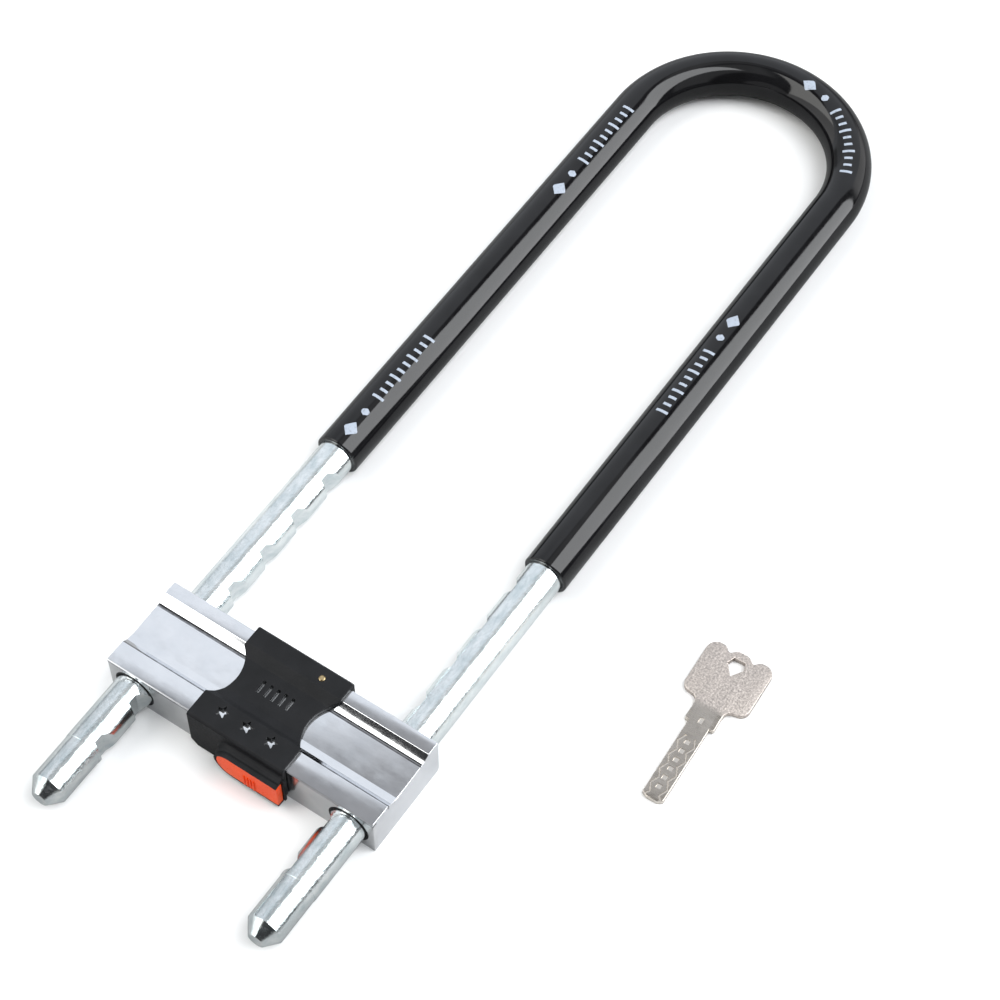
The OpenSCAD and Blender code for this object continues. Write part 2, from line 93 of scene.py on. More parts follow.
class Shader:
    """A node material with a Principled shader and short helpers for building its inputs."""

    def __init__(self, name, **inputs):
        self.mat = bpy.data.materials.new(name)
        self.mat.use_nodes = True
        self.tree = self.mat.node_tree
        self.bsdf = self.tree.nodes["Principled BSDF"]
        for key, value in inputs.items():
            self.bsdf.inputs[key.replace("_", " ")].default_value = value
        self.coords = self.tree.nodes.new("ShaderNodeTexCoord").outputs["Object"]

    def node(self, kind, **values):
        made = self.tree.nodes.new(kind)
        for key, value in values.items():
            setattr(made, key, value)
        return made

    def link(self, out, into):
        self.tree.links.new(out, into)

    def mapped(self, scale=(1, 1, 1), turn=0.0):
        mapping = self.node("ShaderNodeMapping")
        mapping.inputs["Scale"].default_value = scale
        mapping.inputs["Rotation"].default_value = (0, 0, turn)
        self.link(self.coords, mapping.inputs["Vector"])
        return mapping.outputs["Vector"]

    def noise(self, per_metre, detail=3.0, rough=0.5, stretch=(1, 1, 1), turn=0.0):
        made = self.node("ShaderNodeTexNoise")
        made.inputs["Scale"].default_value = per_metre
        made.inputs["Detail"].default_value = detail
        made.inputs["Roughness"].default_value = rough
        self.link(self.mapped(stretch, turn), made.inputs["Vector"])
        return made.outputs["Fac"]

    def remap(self, value, low, high, from_low=0.3, from_high=0.7):
        made = self.node("ShaderNodeMapRange")
        ends = {"From Min": from_low, "From Max": from_high, "To Min": low, "To Max": high}
        for key, number in ends.items():
            made.inputs[key].default_value = number
        self.link(value, made.inputs["Value"])
        return made.outputs["Result"]

    def ramp(self, value, stops):
        made = self.node("ShaderNodeValToRGB")
        elements = made.color_ramp.elements
        elements[0].position, elements[1].position = stops[0][0], stops[-1][0]
        elements[0].color, elements[1].color = (*stops[0][1], 1), (*stops[-1][1], 1)
        for place, colour in stops[1:-1]:
            elements.new(place).color = (*colour, 1)
        self.link(value, made.inputs["Fac"])
        return made.outputs["Color"]

    def tint(self, value, dark, light, low=0.3, high=0.7):
        """A colour that goes from dark to light as value goes from low to high."""
        return self.ramp(value, [(low, dark), (high, light)])

    def math(self, operation, a, b):
        made = self.node("ShaderNodeMath", operation=operation)
        for into, value in zip(made.inputs, (a, b)):
            if isinstance(value, (int, float)):
                into.default_value = value
            else:
                self.link(value, into)
        return made.outputs["Value"]

    def bump(self, height, strength, distance, over=None):
        made = self.node("ShaderNodeBump")
        if isinstance(strength, (int, float)):
            made.inputs["Strength"].default_value = strength
        else:
            self.link(strength, made.inputs["Strength"])
        made.inputs["Distance"].default_value = distance
        self.link(height, made.inputs["Height"])
        if over is not None:
            self.link(over, made.inputs["Normal"])
        self.link(made.outputs["Normal"], self.bsdf.inputs["Normal"])
        return made.outputs["Normal"]

    def vary(self, key, value):
        self.link(value, self.bsdf.inputs[key])

    def axis(self, name):
        """The object's X, Y or Z in metres, as a node output."""
        split = self.node("ShaderNodeSeparateXYZ")
        self.link(self.coords, split.inputs[0])
        return split.outputs[name]

    def band(self, value, low, high, soft):
        """1 between low and high, 0 outside, with smooth sides of width soft."""
        rise = self.remap(value, 0, 1, low - soft / 2, low + soft / 2)
        fall = self.remap(value, 0, 1, high - soft / 2, high + soft / 2)
        return self.math("SUBTRACT", rise, fall)

    def stops(self, value, points):
        """A straight-line curve through (place, value) points, both in the units given."""
        places = [place for place, _ in points]
        values = [number for _, number in points]
        low, high = min(values), max(values)
        share = self.remap(value, 0, 1, places[0], places[-1])
        greys = [
            ((place - places[0]) / (places[-1] - places[0]), ((number - low) / (high - low),) * 3)
            for place, number in points
        ]
        return self.remap(self.ramp(share, greys), low, high, 0, 1)

    def tilted(self, lean):
        """The surface normal leaned along Y by the value lean."""
        normal = self.node("ShaderNodeNewGeometry").outputs["Normal"]
        offset = self.node("ShaderNodeCombineXYZ")
        self.link(lean, offset.inputs["Y"])
        add = self.node("ShaderNodeVectorMath", operation="ADD")
        self.link(normal, add.inputs[0])
        self.link(offset.outputs[0], add.inputs[1])
        unit = self.node("ShaderNodeVectorMath", operation="NORMALIZE")
        self.link(add.outputs[0], unit.inputs[0])
        return unit.outputs[0]

    def mix(self, share, a, b):
        """Colour a where share is 0 and colour b where it is 1."""
        made = self.node("ShaderNodeMix", data_type="RGBA")
        for into, value in ((made.inputs[0], share), (made.inputs[6], a), (made.inputs[7], b)):
            if isinstance(value, tuple):
                into.default_value = (*value, 1)
            else:
                self.link(value, into)
        return made.outputs[2]


def plated_metal(name, dark, light, rough, waviness):
    """Plated steel: a faint cloudy tint, roughness that varies with it, and a very small waviness."""
    s = Shader(name, Metallic=1.0)
    s.vary("Base Color", s.tint(s.noise(60, detail=4, rough=0.6), dark, light))
    s.vary("Roughness", s.remap(s.noise(900, rough=0.6), *rough))
    low = s.bump(s.noise(45, detail=2), waviness, 0.2 * MM)
    s.bump(s.noise(2500, detail=2), 0.04, 0.02 * MM, low)
    return s.mat


def face_crown(s, y):
    """How far the normal leans along Y over the crossbar's top, as buffing leaves no face quite flat."""
    rail = [
        (BAR_LOW.y, -0.06), (BAR_LOW.y + 4 * MM, -0.046),
        (BAR_LOW.y + 6.2 * MM, -0.03), (RAIL_BACK_Y, -0.018),
    ]
    valley = [
        (RAIL_BACK_Y + 0.3 * MM, 0.0), (SLOPE_FOOT_Y, -0.005),
        (COVE_FOOT_Y, 0.004), (FLANGE_FRONT_Y - 0.2 * MM, 0.0),
    ]
    flange = [
        (FLANGE_FRONT_Y, -0.065), (BAR_HIGH.y - 4.5 * MM, -0.054),
        (BAR_HIGH.y - 2 * MM, -0.036), (BAR_HIGH.y, -0.01),
    ]
    return s.stops(y, rail + valley + flange)


def crease_shade_mask(s, y, z):
    """Where shade is painted: 1 in the two creases of the crossbar's top and along the seam under the rail's
    lip.
    """
    crease = s.band(y, RAIL_BACK_Y + 0.1 * MM, RAIL_BACK_Y + 0.75 * MM, 0.3 * MM)
    foot = s.band(y, COVE_FOOT_Y - 0.1 * MM, COVE_FOOT_Y + 0.4 * MM, 0.3 * MM)
    on_top = s.remap(z, 0, 1, CREASE_Z - 0.1 * MM, CREASE_Z + 0.1 * MM)
    on_front = s.remap(y, 1, 0, BAR_LOW.y + 0.4 * MM, BAR_LOW.y + 0.6 * MM)
    under_lip = s.remap(z, 1, 0, LIP_Z + 0.5 * MM, LIP_Z + 0.8 * MM)
    creases = s.math("MULTIPLY", s.math("ADD", crease, foot), on_top)
    return s.math("MAXIMUM", creases, s.math("MULTIPLY", under_lip, on_front))


def buffed_chrome(name):
    """Polished chrome plate: slightly crowned faces, long buffing waves, and painted shade darkening the
    creases and the seam under the rail's lip.
    """
    s = Shader(name, Metallic=1.0)
    y, z = s.axis("Y"), s.axis("Z")
    unshaded = s.tint(s.noise(70, detail=5, rough=0.6), (0.80, 0.82, 0.85), (0.90, 0.91, 0.93))
    # Painted shade: the creases and the seam under the lip are darkened in the base colour, unevenly along
    # the noise.
    painted_shade = s.math("MULTIPLY", crease_shade_mask(s, y, z), s.remap(s.noise(300), 0.6, 1.0))
    s.vary("Base Color", s.mix(painted_shade, unshaded, (0.05, 0.05, 0.055)))
    s.vary("Roughness", s.remap(s.noise(260, detail=4, rough=0.6, stretch=(0.5, 1, 1)), 0.05, 0.12))
    crowned = s.tilted(face_crown(s, y))
    waves = s.bump(s.noise(42, detail=1.5, rough=0.4, stretch=(0.35, 1.6, 1)), 0.6, 0.16 * MM, crowned)
    s.bump(s.noise(900, detail=2, stretch=(0.3, 1, 1)), 0.05, 0.02 * MM, waves)
    return s.mat


def brushed_plate(name):
    """Plated front plate: brushed along its length, with painted shadow darkening its top band under the
    rail's lip.
    """
    s = Shader(name, Metallic=1.0)
    brushed = (0.12, 1, 1)
    unshaded = s.tint(s.noise(60, detail=4, rough=0.6), (0.72, 0.73, 0.75), (0.96, 0.97, 0.98))
    # Painted shadow: the band just under the rail's lip is darkened in the base colour.
    top = s.remap(s.axis("Z"), 0, 1, LIP_Z - 0.75 * MM, LIP_Z - 0.45 * MM)
    s.vary("Base Color", s.mix(top, unshaded, (0.04, 0.04, 0.045)))
    s.vary("Roughness", s.remap(s.noise(900, rough=0.6, stretch=brushed), 0.12, 0.26))
    low = s.bump(s.noise(45, detail=2), 0.1, 0.2 * MM)
    s.bump(s.noise(2500, detail=2, stretch=brushed), 0.04, 0.02 * MM, low)
    return s.mat


def zinc_rod(name):
    """Bright zinc over drawn bar: a cool tint in small blotches, drawing lines along the bar, and pits."""
    s = Shader(name, Metallic=1.0)
    blotches = s.noise(260, detail=6, rough=0.7, stretch=(1, 0.45, 1))
    s.vary("Base Color", s.tint(blotches, (0.62, 0.70, 0.72), (0.96, 0.99, 0.99)))
    s.vary("Roughness", s.remap(s.noise(500, detail=4, rough=0.65, stretch=(1, 0.25, 1)), 0.09, 0.2))
    lines = s.bump(s.noise(260, rough=0.6, stretch=(1, 0.08, 1)), 0.45, 0.06 * MM)
    pits = s.bump(s.noise(620, detail=4, rough=0.7, stretch=(1, 0.6, 1)), 0.9, 0.1 * MM, lines)
    s.bump(s.noise(1800, rough=0.7, stretch=(1, 0.7, 1)), 0.7, 0.05 * MM, pits)
    return s.mat


def moulded_plastic(name, dark, light, rough, grain_strength, gloss):
    """Moulded plastic with a fine spark-eroded grain."""
    s = Shader(name)
    s.bsdf.inputs["Specular IOR Level"].default_value = gloss
    s.vary("Base Color", s.tint(s.noise(120, detail=4), dark, light))
    s.vary("Roughness", s.remap(s.noise(1800, detail=2), *rough))
    s.bump(s.noise(5200, detail=2), grain_strength, 0.05 * MM)
    return s.mat


def dipped_vinyl(name):
    """Glossy black vinyl tube: near black, faint long ripples and a light orange peel."""
    s = Shader(name, IOR=1.44)
    s.vary("Base Color", s.tint(s.noise(90), (0.0045, 0.0045, 0.005), (0.008, 0.008, 0.009)))
    s.vary("Roughness", s.remap(s.noise(700), 0.05, 0.11))
    ripples = s.bump(s.noise(75, detail=2), 0.16, 0.2 * MM)
    s.bump(s.noise(1500, detail=2), 0.05, 0.02 * MM, ripples)
    return s.mat


def white_print(name):
    """Pad-printed white ink with thin spots."""
    s = Shader(name, Roughness=0.4)
    ink = s.noise(900, rough=0.7)
    s.vary("Base Color", s.tint(ink, (0.21, 0.24, 0.28), (0.39, 0.44, 0.52), low=0.28, high=0.45))
    s.bump(s.noise(2600, detail=2), 0.2, 0.02 * MM)
    return s.mat


def blasted_nickel(name):
    """Nickel plated brass key: a sand-blasted bow, and a smooth machined blade in front of the neck."""
    s = Shader(name, Metallic=1.0)
    bow_x = BOW_START_X + (Matrix.Rotation(-KEY_TURN, 3, "Z") @ KEY_ORIGIN).x
    along = s.node("ShaderNodeSeparateXYZ")
    s.link(s.mapped(turn=-KEY_TURN), along.inputs[0])
    on_bow = s.remap(along.outputs["X"], 0, 1, bow_x - 1.5 * MM, bow_x + 1.5 * MM)
    on_blade = s.math("SUBTRACT", 1, on_bow)
    speckle = s.noise(1250, detail=2, rough=0.7)
    grit = s.ramp(speckle, [
        (0.34, (0.41, 0.37, 0.34)), (0.5, (0.56, 0.50, 0.46)), (0.66, (0.73, 0.67, 0.62))])
    flat = s.tint(s.noise(160, detail=5, rough=0.65), (0.40, 0.365, 0.325), (0.54, 0.50, 0.455))
    recess = s.remap(s.axis("Z"), 1, 0, KEY_HIGH.z - 0.16 * MM, KEY_HIGH.z - 0.06 * MM)
    blade = s.mix(recess, flat, (0.74, 0.69, 0.63))
    s.vary("Base Color", s.mix(on_bow, blade, grit))
    blasted = s.remap(speckle, 0.34, 0.50)
    milled = s.remap(s.noise(800, rough=0.6, stretch=(0.2, 1, 1), turn=-KEY_TURN), 0.20, 0.34)
    rough_bow = s.math("MULTIPLY", blasted, on_bow)
    rough_blade = s.math("MULTIPLY", milled, on_blade)
    s.vary("Roughness", s.math("ADD", rough_bow, rough_blade))
    sand = s.bump(speckle, s.math("MULTIPLY", on_bow, 0.8), 0.16 * MM)
    s.bump(s.noise(900, rough=0.6, stretch=(0.15, 1, 1), turn=-KEY_TURN), 0.18, 0.03 * MM, sand)
    return s.mat


def zinc_plate(name):
    return plated_metal(
        name, dark=(0.66, 0.68, 0.70), light=(0.78, 0.79, 0.80), rough=(0.25, 0.38), waviness=0.08)


def hard_steel(name):
    return plated_metal(
        name, dark=(0.42, 0.44, 0.47), light=(0.55, 0.57, 0.60), rough=(0.25, 0.4), waviness=0.05)


def dark_steel(name):
    return plated_metal(
        name, dark=(0.10, 0.10, 0.11), light=(0.18, 0.18, 0.19), rough=(0.3, 0.45), waviness=0.05)


def spring_steel(name):
    return plated_metal(
        name, dark=(0.55, 0.56, 0.58), light=(0.66, 0.67, 0.68), rough=(0.2, 0.3), waviness=0.05)


def brass(name):
    return plated_metal(
        name, dark=(0.34, 0.25, 0.13), light=(0.52, 0.40, 0.22), rough=(0.25, 0.42), waviness=0.05)


def black_plastic(name):
    return moulded_plastic(
        name, dark=(0.0065, 0.007, 0.008), light=(0.0105, 0.011, 0.0125),
        rough=(0.46, 0.58), grain_strength=0.22, gloss=0.2)


def orange_plastic(name):
    return moulded_plastic(
        name, dark=(0.86, 0.064, 0.003), light=(0.90, 0.088, 0.006),
        rough=(0.26, 0.36), grain_strength=0.10, gloss=0.34)


def make_materials():
    """Every material by its name: the slots of the record, the front plate's and the print's."""
    return {
        "chrome_body": buffed_chrome("chrome_body"),
        "front_plate": brushed_plate("front_plate"),
        "zinc_rod": zinc_rod("zinc_rod"),
        "zinc_plate": zinc_plate("zinc_plate"),
        "hard_steel": hard_steel("hard_steel"),
        "dark_steel": dark_steel("dark_steel"),
        "spring_steel": spring_steel("spring_steel"),
        "brass": brass("brass"),
        "black_plastic": black_plastic("black_plastic"),
        "black_sleeve": dipped_vinyl("black_sleeve"),
        "white_print": white_print("white_print"),
        "orange_plastic": orange_plastic("orange_plastic"),
        "nickel_key": blasted_nickel("nickel_key"),
    }


def dress_frame():
    """Gives every CAD node the material of its slot, and the front plate its own brushed one."""
    for name, obj in NODES.items():
        obj.data.materials.clear()
        obj.data.materials.append(MATERIALS[SLOT_OF[name]])
    NODES["front_plate"].data.materials[0] = MATERIALS["front_plate"]


# ---------------------------------------------------------------- mesh helpers

def add_piece(name, mesh, body, slot, stands_for=(), material=None):
    """Puts a finished mesh in the scene, on its body, with the material of its slot or the one given, and
    hides the parts it stands for.
    """
    obj = bpy.data.objects.new(name, mesh)
    bpy.context.scene.collection.objects.link(obj)
    mesh.materials.clear()
    mesh.materials.append(MATERIALS[material or slot])
    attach(obj, body)
    if stands_for:
        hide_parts(*stands_for)
    return obj


def shade(mesh, sharp_angle=None):
    """Smooth shading, with edges kept sharp where the surface turns by more than sharp_angle degrees."""
    mesh.polygons.foreach_set("use_smooth", [True] * len(mesh.polygons))
    if sharp_angle is not None:
        mesh.set_sharp_from_angle(angle=math.radians(sharp_angle))
    return mesh


def finished(bm, name, sharp_angle=None):
    """Turns a bmesh into a shaded mesh whose faces all point outwards."""
    bmesh.ops.recalc_face_normals(bm, faces=bm.faces)
    mesh = bpy.data.meshes.new(name)
    bm.to_mesh(mesh)
    bm.free()
    return shade(mesh, sharp_angle)


def evaluated(obj, name):
    """The mesh of an object with its modifiers applied; the object itself is removed."""
    bpy.context.view_layer.update()
    depsgraph = bpy.context.evaluated_depsgraph_get()
    mesh = bpy.data.meshes.new_from_object(obj.evaluated_get(depsgraph))
    mesh.name = name
    bpy.data.objects.remove(obj)
    return mesh


def temporary(name, data):
    obj = bpy.data.objects.new(name, data)
    bpy.context.scene.collection.objects.link(obj)
    return obj


def join_rings(bm, rings, closed=False):
    """Skins rings of points with quads. Every ring has the same count and is itself closed."""
    made = [[bm.verts.new(point) for point in ring] for ring in rings]
    count = len(made[0])
    pairs = list(zip(made, made[1:]))
    if closed:
        pairs.append((made[-1], made[0]))
    for a, b in pairs:
        for i in range(count):
            j = (i + 1) % count
            bm.faces.new((a[i], a[j], b[j], b[i]))
    return made


def add_box(bm, low, high, round_by, segments=3):
    """A box from two corners with every edge rounded."""
    size = [b - a for a, b in zip(low, high)]
    middle = [(a + b) / 2 for a, b in zip(low, high)]
    made = bmesh.ops.create_cube(bm, size=1)
    bmesh.ops.scale(bm, vec=size, verts=made["verts"])
    bmesh.ops.translate(bm, vec=middle, verts=made["verts"])
    edges = list({edge for vert in made["verts"] for edge in vert.link_edges})
    bmesh.ops.bevel(
        bm, geom=edges, offset=round_by, segments=segments, profile=0.5,
        affect="EDGES", clamp_overlap=True)


def arc(centre, radius, start, end, steps):
    """Points along an arc, angles in degrees."""
    turns = [math.radians(start + (end - start) * i / steps) for i in range(steps + 1)]
    return [(centre[0] + radius * math.cos(t), centre[1] + radius * math.sin(t)) for t in turns]


def plate(outlines, thickness, round_by, name, rounding=3):
    """A flat plate with rounded edges, centred on z = 0, from closed outlines. The inner ones are holes."""
    curve = bpy.data.curves.new(name, "CURVE")
    curve.dimensions = "2D"
    curve.fill_mode = "BOTH"
    curve.extrude = thickness / 2 - round_by
    curve.bevel_depth = round_by
    curve.bevel_resolution = rounding
    curve.offset = -round_by
    for outline in outlines:
        spline = curve.splines.new("POLY")
        spline.points.add(len(outline) - 1)
        for point, (x, y) in zip(spline.points, outline):
            point.co = (x, y, 0, 1)
        spline.use_cyclic_u = True
    mesh = evaluated(temporary(name, curve), name)
    bm = bmesh.new()
    bm.from_mesh(mesh)
    bmesh.ops.remove_doubles(bm, verts=bm.verts, dist=0.002 * MM)
    bm.to_mesh(mesh)
    bm.free()
    return mesh


def cut(mesh, cutters, name):
    """Subtracts closed cutter meshes from a mesh."""
    obj = temporary(name, mesh)
    tools = [temporary(f"{name}_cutter", cutter) for cutter in cutters]
    for tool in tools:
        modifier = obj.modifiers.new("cut", "BOOLEAN")
        modifier.operation = "DIFFERENCE"
        modifier.solver = "EXACT"
        modifier.object = tool
    result = evaluated(obj, name)
    for tool in tools:
        bpy.data.objects.remove(tool)
    return result


def flat_faced(mesh, name):
    """Large faces keep their own flat normals, and the small rounded ones between them take up the turn."""
    obj = temporary(name, mesh)
    weighted = obj.modifiers.new("weighted", "WEIGHTED_NORMAL")
    weighted.keep_sharp = True
    weighted.weight = 100
    return evaluated(obj, name)


def clean_copy(node):
    """A copy of a CAD node's mesh as one welded surface with its flat faces merged."""
    bm = bmesh.new()
    bm.from_mesh(NODES[node].data)
    bmesh.ops.remove_doubles(bm, verts=bm.verts, dist=0.001 * MM)
    bmesh.ops.dissolve_limit(
        bm, angle_limit=math.radians(0.5), use_dissolve_boundaries=False,
        verts=bm.verts, edges=bm.edges)
    return bm


# ---------------------------------------------------------------- crossbar

def is_rounded(edge):
    """True for the crossbar's outer edges, but not in its pocket or bores, nor at its lip's chamfer."""
    points = [vert.co for vert in edge.verts]
    outside = all(abs(p.x) > BAR_HIGH.x - 0.1 * MM or p.z > 0.8 * BAR_HIGH.z for p in points)
    on_lip = all(p.y < BAR_LOW.y + 0.5 * MM and p.z > BAR_HIGH.z - 0.5 * MM for p in points)
    folded = len(edge.link_faces) == 2 and edge.calc_face_angle(0) > math.radians(24)
    return folded and outside and not on_lip


def is_crisp(edge):
    """True where a shading break belongs: at a strong fold, and round every large face at a weak one too."""
    if len(edge.link_faces) != 2:
        return True
    turn = math.degrees(edge.calc_face_angle(0))
    large = max(face.calc_area() for face in edge.link_faces) > 150 * MM * MM
    return turn > 30 or (large and turn > 4)


def make_crossbar():
    """The chromed body with small radii on its outer edges."""
    bm = clean_copy("crossbar_body")
    bmesh.ops.bevel(
        bm, geom=[edge for edge in bm.edges if is_rounded(edge)], offset=0.15 * MM, offset_type="OFFSET",
        segments=3, profile=0.5, affect="EDGES", clamp_overlap=False)
    for edge in bm.edges:
        edge.smooth = not is_crisp(edge)
    mesh = flat_faced(finished(bm, "crossbar_block"), "crossbar_block")
    add_piece("crossbar_block", mesh, "crossbar", SLOT_OF["crossbar_body"], ("crossbar_body",))


# ---------------------------------------------------------------- shackle sleeve and its print

LEG_RUN = BEND_Y - SLEEVE_LOW.y
BEND_RUN = math.pi * LEG_X
SLEEVE_RUN = 2 * LEG_RUN + BEND_RUN


def along_sleeve(s):
    """Centre of the rod and the direction out of the U, at a distance s along the sleeve."""
    if s <= LEG_RUN:
        return Vector((-LEG_X, SLEEVE_LOW.y + s, AXIS_Z)), Vector((-1, 0, 0))
    if s >= LEG_RUN + BEND_RUN:
        return Vector((LEG_X, BEND_Y - (s - LEG_RUN - BEND_RUN), AXIS_Z)), Vector((1, 0, 0))
    turn = (s - LEG_RUN) / LEG_X
    outward = Vector((-math.cos(turn), math.sin(turn), 0))
    return Vector((0, BEND_Y, AXIS_Z)) + outward * LEG_X, outward


def on_sleeve(s, angle, radius):
    """A point on the sleeve: angle in radians from the top towards the outside of the U."""
    centre, outward = along_sleeve(s)
    return centre + radius * (math.cos(angle) * UP + math.sin(angle) * outward)


def sleeve_profile():
    """Distance along the sleeve and radius of each ring.

    It goes from one rounded mouth along the outside to the other mouth, and back along the bore.
    """
    bore = ROD_R + 0.02 * MM
    wall = SLEEVE_R - bore
    lip = 0.42 * wall
    lip_steps = 6
    bend_steps = 96
    mouth = [(wall * 0.9, bore), (0.25 * lip, bore + 0.05 * lip)]
    mouth += [
        (lip * (1 - math.sin(a)), SLEEVE_R - lip * (1 - math.cos(a)))
        for a in [math.pi / 2 * (1 - i / lip_steps) for i in range(lip_steps + 1)]
    ]
    thirds = [LEG_RUN / 3, 2 * LEG_RUN / 3]
    bend = [LEG_RUN + BEND_RUN * i / bend_steps for i in range(bend_steps + 1)]
    outside = [(s, SLEEVE_R) for s in thirds + bend + [SLEEVE_RUN - s for s in reversed(thirds)]]
    far_mouth = [(SLEEVE_RUN - s, r) for s, r in reversed(mouth)]
    inside = [(s, bore) for s in reversed(bend)]
    return mouth + outside + far_mouth + inside


def make_sleeve():
    """The vinyl tube: one closed skin swept round the U."""
    around = 88
    angles = [2 * math.pi * i / around for i in range(around)]
    bm = bmesh.new()
    rings = [[on_sleeve(s, a, r) for a in angles] for s, r in sleeve_profile()]
    join_rings(bm, rings, closed=True)
    add_piece("sleeve_tube", finished(bm, "sleeve_tube", 50), "shackle", "black_sleeve", ("shackle_sleeve",))


def add_mark(bm, start, length, half_height, middle):
    """A thin printed patch on the sleeve. half_height(u) is its half height at a share u of its length."""
    across = 8
    along = max(4, round(length / (0.8 * MM)))
    layers = []
    for radius in (SLEEVE_R + 0.035 * MM, SLEEVE_R - 0.01 * MM):
        layer = []
        for i in range(along + 1):
            u = i / along
            half = max(half_height(u), 0.02 * MM) / SLEEVE_R
            row = [middle + half * (2 * j / across - 1) for j in range(across + 1)]
            layer.append([bm.verts.new(on_sleeve(start + length * u, a, radius)) for a in row])
        layers.append(layer)
    top, under = layers
    for i in range(along):
        for j in range(across):
            bm.faces.new((top[i][j], top[i][j + 1], top[i + 1][j + 1], top[i + 1][j]))
            bm.faces.new((under[i][j], under[i + 1][j], under[i + 1][j + 1], under[i][j + 1]))
        for j in (0, across):
            bm.faces.new((top[i][j], top[i + 1][j], under[i + 1][j], under[i][j]))
    for i in (0, along):
        for j in range(across):
            bm.faces.new((top[i][j], under[i][j], under[i][j + 1], top[i][j + 1]))


def add_diamond(bm, start, middle):
    half = 3.4 * MM
    add_mark(bm, start, 7.5 * MM, lambda u: half * (1 - abs(2 * u - 1)), middle)


def add_dot(bm, start, middle):
    radius = 1.8 * MM
    add_mark(bm, start, 2 * radius, lambda u: radius * math.sqrt(max(0, 1 - (2 * u - 1) ** 2)), middle)


def add_bar(bm, start, half, middle):
    add_mark(bm, start, 1.3 * MM, lambda u: half, middle)


def make_sleeve_print():
    """Four plain index marks at an even spacing: a diamond, a dot and a row of bars of two heights."""
    first, spacing = 5 * MM, 152 * MM
    long_half, short_half = 2.7 * MM, 1.8 * MM
    bar_pitch = 4 * MM
    middle = math.radians(-7)
    bm = bmesh.new()
    for k in range(4):
        start = first + spacing * k
        add_diamond(bm, start, middle)
        add_dot(bm, start + 12 * MM, middle)
        for i in range(10):
            half = long_half if i % 3 == 0 else short_half
            add_bar(bm, start + 22 * MM + bar_pitch * i, half, middle)
    add_piece(
        "sleeve_print", finished(bm, "sleeve_print", 40), "shackle", "black_sleeve", material="white_print")


# ---------------------------------------------------------------- centre cover, hood and shutter

def make_cover():
    """The cover as one moulding: every edge of the CAD shape softened by a fine remesh."""
    bm = bmesh.new()
    bm.from_mesh(NODES["centre_cover"].data)
    bmesh.ops.remove_doubles(bm, verts=bm.verts, dist=0.001 * MM)
    mesh = bpy.data.meshes.new("cover_source")
    bm.to_mesh(mesh)
    bm.free()
    obj = temporary("cover_source", mesh)
    remesh = obj.modifiers.new("fine", "REMESH")
    remesh.mode = "VOXEL"
    remesh.voxel_size = 0.19 * MM
    smooth = obj.modifiers.new("soft", "SMOOTH")
    smooth.factor = 0.5
    smooth.iterations = 4
    mesh = shade(evaluated(obj, "cover_moulding"))
    add_piece("cover_moulding", mesh, "crossbar", "black_plastic", ("centre_cover",))


# The shutter's box includes the tongue it slides on, and its grips. The hood reaches a little into the cover.
TONGUE = 0.8 * MM
GRIP_HEIGHT = 0.6 * MM
SHUTTER_R = (SHUTTER_HIGH.z - SHUTTER_LOW.z) / 2 - TONGUE
SHUTTER_FRONT_Y = SHUTTER_LOW.y + GRIP_HEIGHT
SHUTTER_BACK_Y = SHUTTER_HIGH.y
SHUTTER_END_X = SHUTTER_HIGH.x
WALL_Y = COVER_LOW.y
SUNK_Y = WALL_Y + 0.25 * MM


def hood_path():
    """Points round the shutter with the outward direction and how full the hood is there.

    It starts at the lower right, runs left along the bottom, round the left end and right along the top.
    """
    end_x = SHUTTER_END_X - 0.2 * MM
    side_steps = 8
    turn_steps = 32
    path = []
    for i in range(side_steps + 1):
        path.append(((end_x * (1 - i / side_steps), -SHUTTER_R), (0, -1), 0.0))
    for i in range(1, turn_steps):
        angle = math.radians(-90 - 180 * i / turn_steps)
        out = (math.cos(angle), math.sin(angle))
        share = min(1.0, max(0.0, (i - 8) / 16))
        path.append(((SHUTTER_R * out[0], SHUTTER_R * out[1]), out, share * share * (3 - 2 * share)))
    for i in range(side_steps + 1):
        path.append(((end_x * i / side_steps, SHUTTER_R), (0, 1), 1.0))
    return path


def hood_section(full):
    """Distance out from the shutter and Y of the hood's section.

    It is a plain rim at 0, and at 1 a rounded lip, a narrow step and a fillet that runs out on the cover.
    """
    gap = 0.12 * MM
    front = SHUTTER_FRONT_Y - 0.45 * MM + (1 - full) * 0.6 * MM
    deep = SUNK_Y - front
    lip = 1.15 * MM
    neck = lip + 0.05 * MM
    step = neck + full * 0.9 * MM
    reach = full * 1.9 * MM
    rim = [
        (gap, SUNK_Y), (gap, front + 0.3 * MM), (gap + 0.1 * MM, front + 0.08 * MM),
        (gap + 0.3 * MM, front), (lip - 0.3 * MM, front), (lip - 0.1 * MM, front + 0.1 * MM),
        (lip, front + 0.35 * MM), (neck, front + 0.36 * deep),
    ]
    ledge = [(step - full * 0.25 * MM, front + 0.42 * deep), (step, front + 0.48 * deep)]
    fillet = [
        (step + reach * (1 - math.cos(a)), front + deep * (0.5 + 0.5 * math.sin(a)))
        for a in [math.pi / 2 * i / 8 for i in range(1, 9)]
    ]
    return rim + ledge + fillet


def add_rim(bm):
    """The frame round the shutter, open at its right end."""
    rings = [
        [Vector((x + out_x * d, y, AXIS_Z + z + out_z * d)) for d, y in hood_section(full)]
        for (x, z), (out_x, out_z), full in hood_path()
    ]
    ends = join_rings(bm, rings)
    bm.faces.new(ends[0])
    bm.faces.new(ends[-1])


def add_end_stop(bm):
    """The upright bar behind the shutter's right end."""
    low = (SHUTTER_END_X - 2 * MM, WALL_Y - 1.05 * MM, HOOD_LOW.z + 1.2 * MM)
    high = (SHUTTER_END_X + 0.8 * MM, SUNK_Y, AXIS_Z + SHUTTER_R + 1.3 * MM)
    add_box(bm, low, high, 0.35 * MM)


